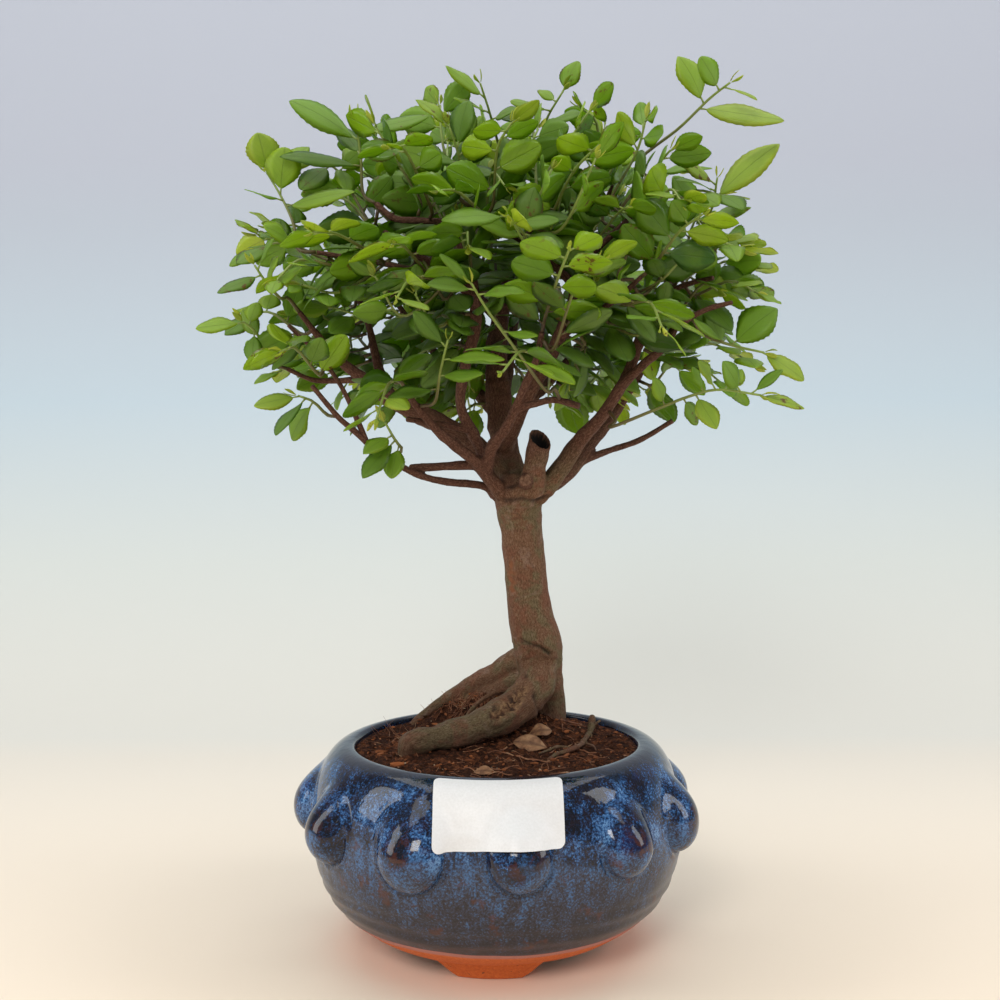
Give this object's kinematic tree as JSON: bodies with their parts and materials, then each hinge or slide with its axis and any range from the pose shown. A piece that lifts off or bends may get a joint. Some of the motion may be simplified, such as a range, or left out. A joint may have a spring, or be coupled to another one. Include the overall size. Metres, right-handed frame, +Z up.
{
  "type": "sweet plum bonsai",
  "caption": "Sweet plum bonsai with a bare trunk, exposed roots and a rounded leafy crown, in a bulging round glazed pot with bosses and short feet.",
  "frame": {"origin": "bottom centre of the whole plant's box, level with the soles of the pot's feet", "axes": "+Z up, -Y towards the viewer of the picture, +X to the viewer's right"},
  "size_m": [0.1976, 0.1796, 0.3049],
  "materials": {
    "glaze": "glossy mottled blue glaze over bare terracotta feet",
    "net": "matte",
    "soil": "rough, crumbly",
    "bark": "rough bark",
    "leaf": "glossy green leaves on green stems",
    "dead_leaf": "dry and matte",
    "label": "smooth white paper"
  },
  "bodies": {
    "root": {"drain_net": "net", "fallen_leaf_front": "dead_leaf", "fallen_leaf_long": "dead_leaf", "fallen_leaf_short": "dead_leaf", "label": "label", "loose_root": "bark", "pot": "glaze", "shoot_01": "leaf", "shoot_02": "leaf", "shoot_03": "leaf", "shoot_04": "leaf", "shoot_05": "leaf", "shoot_06": "leaf", "shoot_07": "leaf", "shoot_08": "leaf", "shoot_09": "leaf", "shoot_10": "leaf", "shoot_11": "leaf", "shoot_12": "leaf", "shoot_13": "leaf", "shoot_14": "leaf", "shoot_15": "leaf", "shoot_16": "leaf", "shoot_17": "leaf", "shoot_18": "leaf", "shoot_19": "leaf", "shoot_20": "leaf", "shoot_21": "leaf", "shoot_22": "leaf", "shoot_23": "leaf", "shoot_24": "leaf", "shoot_25": "leaf", "shoot_26": "leaf", "shoot_27": "leaf", "shoot_28": "leaf", "shoot_29": "leaf", "shoot_30": "leaf", "shoot_31": "leaf", "shoot_32": "leaf", "shoot_33": "leaf", "shoot_34": "leaf", "shoot_35": "leaf", "shoot_centre_left": "leaf", "shoot_front_arch": "leaf", "shoot_front_big": "leaf", "shoot_left_bottom": "leaf", "shoot_left_low_tip": "leaf", "shoot_left_tip": "leaf", "shoot_left_upper": "leaf", "shoot_low_front_left": "leaf", "shoot_right_low": "leaf", "shoot_right_mid": "leaf", "shoot_right_top": "leaf", "shoot_top_centre_left": "leaf", "shoot_top_left": "leaf", "shoot_top_spotted": "leaf", "shoot_top_yellow": "leaf", "shoot_upper_right": "leaf", "soil": "soil", "tree": "bark"}
  },
  "joints": []
}
